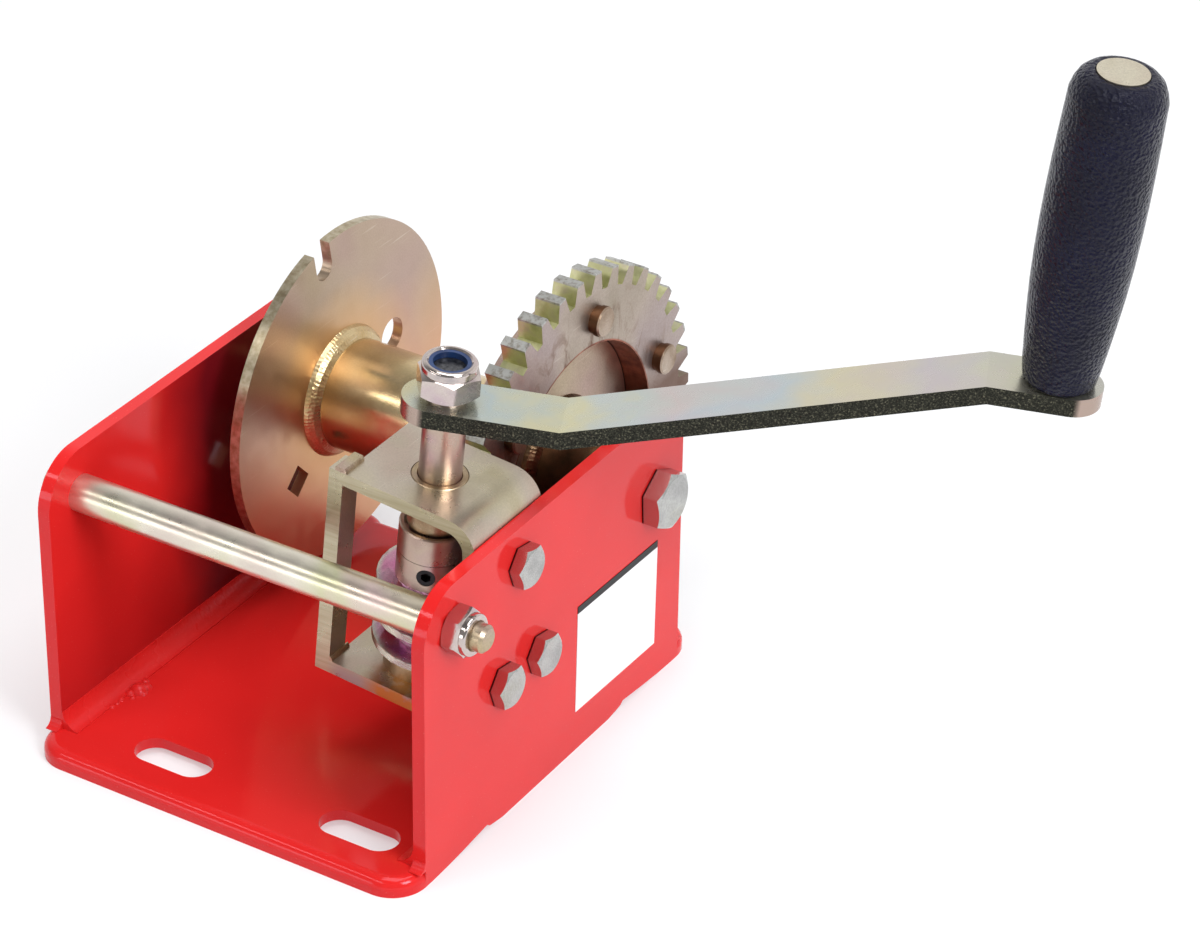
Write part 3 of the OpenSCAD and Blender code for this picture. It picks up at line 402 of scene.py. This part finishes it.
def red_paint(name, roughness=(0.08, 0.13), lumps=0.05, stain=None):
    """Glossy red paint with a light orange peel and fine pale specks."""
    s = Shader(name, Metallic=0.0, Specular_IOR_Level=0.28, Specular_Tint=(1.0, 0.84, 1.0, 1.0))
    tone = s.mottle(PAINT, 14.0, 2.0)
    speck = s.mottle([(0.73, 0.0), (0.78, 1.0)], 1500.0, 1.0)
    tone = s.mix(s.times(speck, 0.35), tone, PAINT_SPECK)
    s.color(stain(s, tone) if stain else tone)
    s.rough(*roughness, 50.0, start=0.35)
    s.bump((s.noise(900.0, 1.5), 0.08, 0.2), (s.noise(90.0 + 1500.0 * lumps, 2.0), lumps, 0.5))
    return s


def zinc(name, stops, roughness, patch, stain=None, grain=0.10, scratch=0.3, relief=1.0):
    """Zinc plating: a thin film drifting between pale colours, fine grain and a few scratches.

    relief is the strength of the fine bump, or a function that gives other bump layers."""
    s = Shader(name, Metallic=0.95, Specular_IOR_Level=0.5)
    tone = s.ramp(s.noise(patch, 2.0, 0.5, distortion=0.3), stops)
    fine = s.mottle([(0.3, 1.0 - 2.0 * grain), (0.7, 1.0)], 1300.0, 2.0)
    tone = s.mix(1.0, tone, fine, "MULTIPLY")
    lines = s.noise(900.0, 2.0, 0.5, where=s.place(scale=(1.0, 0.04, 1.0), turn=(0.7, 0.3, 0.2)))
    tone = s.mix(s.ramp(lines, [(0.69, 0.0), (0.77, scratch)]), tone, SCRATCH)
    s.color(stain(s, tone) if stain else tone)
    s.rough(*roughness, 110.0, 4.0, 0.6, start=0.35)
    if callable(relief):
        s.bump(*relief(s))
    else:
        s.bump((s.noise(1000.0, 2.0), 0.10 * relief, 0.2), (s.noise(80.0, 2.0), 0.05 * relief, 0.4))
    return s


def small_part(name, stops, scale, roughness, metallic):
    """A plain finish for the smallest pieces."""
    s = Shader(name, Metallic=metallic, Specular_IOR_Level=0.5)
    s.color(s.mottle(stops, scale, 2.0))
    s.rough(*roughness, 300.0)
    return s


def black_grip(name):
    """Black plastic with a leathery grain."""
    s = Shader(name, Metallic=0.0, Specular_IOR_Level=0.19)
    s.color(s.mottle(GRIP, 40.0))
    s.rough(0.10, 0.18, 300.0)
    s.bump((s.cells(720.0, feature="SMOOTH_F1"), 1.0, 1.3), (s.noise(1400.0, 2.0), 0.7, 0.6))
    return s


def label_white(name):
    """Bare white label with a black band at its upper edge."""
    s = Shader(name, Metallic=0.0, Roughness=0.42, Specular_IOR_Level=0.3)
    height = s.parts(s.place(turn=(LABEL_TURN, 0, 0)))["Z"]
    band = s.span(height, LABEL_BAND_Z, LABEL_BAND_Z + 0.08)
    s.color(s.mix(band, s.mottle(PAPER, 90.0, 2.0), LABEL_INK))
    s.bump((s.noise(60.0, 2.0), 0.08, 0.5))
    return s


# Kind of material, then its values, for each material's name
FINISHES = {
    "red_paint": (red_paint, {}),
    "weld_paint": (red_paint, dict(roughness=(0.24, 0.36), lumps=0.35)),
    "shaded_paint": (red_paint, dict(stain=shade_behind_flange)),
    "yellow_zinc": (zinc, dict(stops=YELLOW, roughness=(0.3, 0.42), patch=20.0)),
    "barrel_zinc": (zinc, dict(stops=GOLD, roughness=(0.19, 0.27), patch=30.0, stain=barrel_shade,
                               grain=0.07, scratch=0.1, relief=0.6)),
    "flange_zinc": (zinc, dict(stops=DUSK, roughness=(0.3, 0.4), patch=12.0, stain=flange_halo,
                               grain=0.05)),
    "bore_zinc": (zinc, dict(stops=DUSK, roughness=(0.3, 0.45), patch=16.0, stain=bore_shade)),
    "wheel_zinc": (zinc, dict(stops=FACE, roughness=(0.34, 0.5), patch=18.0, stain=wheel_stain,
                              grain=0.08)),
    "bracket_zinc": (zinc, dict(stops=BRACKET, roughness=(0.26, 0.38), patch=26.0, stain=burnt,
                                grain=0.06)),
    "zinc_tube": (zinc, dict(stops=TUBE, roughness=(0.27, 0.36), patch=22.0,
                             grain=0.03, scratch=0.1, relief=0.5)),
    "silver_zinc": (zinc, dict(stops=SILVER, roughness=(0.15, 0.24), patch=60.0, stain=head_reflection_and_shade,
                               grain=0.12)),
    "nut_zinc": (zinc, dict(stops=NUT, roughness=(0.08, 0.14), patch=70.0, grain=0.05)),
    "pink_zinc": (zinc, dict(stops=PINKISH, roughness=(0.26, 0.36), patch=40.0, stain=shaft_end,
                             grain=0.04)),
    "worm_zinc": (zinc, dict(stops=WORM, roughness=(0.2, 0.32), patch=60.0, stain=worm_crest)),
    "arm_zinc": (zinc, dict(stops=FILM, roughness=(0.24, 0.34), patch=13.0, stain=arm_edges,
                            grain=0.02, scratch=0.05, relief=0.6)),
    "rivet_zinc": (zinc, dict(stops=RIVET, roughness=(0.3, 0.45), patch=90.0, stain=rivet_side_shade)),
    "weld_metal": (zinc, dict(stops=YELLOW, roughness=(0.25, 0.5), patch=60.0, relief=lumpy_weld)),
    "ring_weld": (zinc, dict(stops=GOLD, roughness=(0.26, 0.42), patch=60.0, stain=rusty_end,
                             relief=ring_weld)),
    "bush_metal": (zinc, dict(stops=BUSH, roughness=(0.28, 0.42), patch=60.0)),
    "pin_gold": (zinc, dict(stops=PIN, roughness=(0.26, 0.4), patch=50.0)),
    "black_screw": (small_part, dict(stops=SCREW, scale=150.0, roughness=(0.35, 0.5), metallic=0.6)),
    "blue_nylon": (small_part, dict(stops=NYLON, scale=200.0, roughness=(0.28, 0.4), metallic=0.0)),
    "black_grip": (black_grip, {}),
    "label_white": (label_white, {}),
}
MATERIALS = {name: make(name, **values).mat for name, (make, values) in FINISHES.items()}

# Nodes whose finish differs from that of their material slot
OWN_FINISH = {
    "left_side_plate": "shaded_paint", "frame_welds": "weld_paint",
    "tie_bolt": "yellow_zinc", "tie_nut": "nut_zinc", "crank_nut": "nut_zinc",
    "worm_bracket": "bracket_zinc", "bracket_strut": "bracket_zinc", "worm": "worm_zinc",
    "worm_wheel": "wheel_zinc", "drum_barrel": "barrel_zinc", "drum_welds": "ring_weld",
    "left_flange": "flange_zinc", "right_flange": "bore_zinc",
}

for part in frame["record"]["subparts"]:
    name = part["node"]
    slots = NODES[name].data.materials
    slots.clear()
    slots.append(MATERIALS[OWN_FINISH.get(name, part["material_slot"])])


# Studio: name, place, width and height in metres, watts and colour of each light
LIGHT_AIM = (0.03, 0.09, 0.1)
LIGHTS = (
    ("key", (1.9, -0.5, 1.55), (0.9, 0.9), 38.0, (0.94, 0.97, 1.0)),
    ("top", (0.2, 0.1, 2.15), (1.5, 1.5), 30.0, (1.0, 1.0, 1.0)),
    ("low_left", (-1.1, -1.9, 0.42), (0.9, 0.5), 4.5, (1.0, 1.0, 1.0)),
    ("high_left", (-0.45, -0.95, 1.12), (1.1, 0.16), 3.5, (1.0, 0.98, 0.94)),
)
FLOOR_REACH = 30.0
FLOOR_GLOW = (0.96, 0.97, 1.0, 1.0)


def area_light(name, where, size, power, tint):
    data = bpy.data.lights.new(name, "AREA")
    data.shape = "RECTANGLE"
    data.size, data.size_y = size
    data.energy = power
    data.color = tint
    lamp = bpy.data.objects.new(name, data)
    lamp.location = where
    toward = Vector(LIGHT_AIM) - Vector(where)
    lamp.rotation_euler = toward.to_track_quat("-Z", "Y").to_euler()
    bpy.context.scene.collection.objects.link(lamp)


def backdrop():
    """World light: a white sweep behind the object and along the horizon, a darker room
    in front and above."""
    world = bpy.data.worlds.new("studio")
    world.use_nodes = True
    tree = world.node_tree
    coord = tree.nodes.new("ShaderNodeTexCoord")
    split = tree.nodes.new("ShaderNodeSeparateXYZ")
    tree.links.new(coord.outputs["Generated"], split.inputs[0])

    def fade(axis, low, high, bottom, top):
        node = tree.nodes.new("ShaderNodeMapRange")
        for key, value in (("From Min", low), ("From Max", high), ("To Min", bottom), ("To Max", top)):
            node.inputs[key].default_value = value
        tree.links.new(split.outputs[axis], node.inputs["Value"])
        return node.outputs["Result"]

    def join(operation, a, b):
        node = tree.nodes.new("ShaderNodeMath")
        node.operation = operation
        tree.links.new(a, node.inputs[0])
        tree.links.new(b, node.inputs[1])
        return node.outputs[0]

    room = join("MULTIPLY", fade("Y", -0.2, 0.4, 0.28, 0.95), fade("Z", 0.55, 0.85, 1.0, 0.45))
    horizon = fade("Z", 0.04, 0.14, 0.95, 0.0)
    back = tree.nodes["Background"]
    back.inputs["Color"].default_value = (1.0, 1.0, 1.0, 1.0)
    tree.links.new(join("MAXIMUM", room, horizon), back.inputs["Strength"])
    bpy.context.scene.world = world


def studio():
    r = FLOOR_REACH
    mesh = bpy.data.meshes.new("floor")
    mesh.from_pydata([(-r, -r, 0), (r, -r, 0), (r, r, 0), (-r, r, 0)], [], [(0, 1, 2, 3)])
    floor = bpy.data.objects.new("floor", mesh)
    bpy.context.scene.collection.objects.link(floor)
    s = Shader("floor_white", Metallic=0.0, Roughness=0.9, Specular_IOR_Level=0.1,
               Emission_Color=FLOOR_GLOW)
    s.color(s.mottle(FLOOR, 3.0, 2.0))
    away = s.add("ShaderNodeVectorMath", operation="LENGTH")
    s.link(s.coord.outputs["Object"], away.inputs[0])
    glow = s.plus(s.times(s.window(away.outputs["Value"], 0.5, 3.0), 0.3), 0.43)
    s.link(glow, s.bsdf.inputs["Emission Strength"])
    mesh.materials.append(s.mat)
    backdrop()
    for light in LIGHTS:
        area_light(*light)
    bpy.context.scene.view_settings.view_transform = "Standard"


# Camera, fitted to the photo: its place, the way back from the object, and its roll
CAMERA_PLACE = Vector((0.86076, -1.15671, 1.05718))
CAMERA_BACK = Vector((0.44029, -0.72729, 0.52652))
CAMERA_SIDE = Vector((0.85546, 0.51788, 0.0))
CAMERA_ROLL = math.radians(1.0)
CAMERA_LENS = 127.35


def camera():
    data = bpy.data.cameras.new("camera")
    data.sensor_width = 36.0
    data.lens = CAMERA_LENS
    data.clip_end = 100.0
    back = CAMERA_BACK.normalized()
    side = CAMERA_SIDE.normalized()
    up = back.cross(side)
    x = math.cos(CAMERA_ROLL) * side + math.sin(CAMERA_ROLL) * up
    y = -math.sin(CAMERA_ROLL) * side + math.cos(CAMERA_ROLL) * up
    view = Matrix((x, y, back)).transposed().to_4x4()
    view.translation = CAMERA_PLACE
    cam = bpy.data.objects.new("camera", data)
    cam.matrix_world = view
    bpy.context.scene.collection.objects.link(cam)
    bpy.context.scene.camera = cam


studio()
camera()
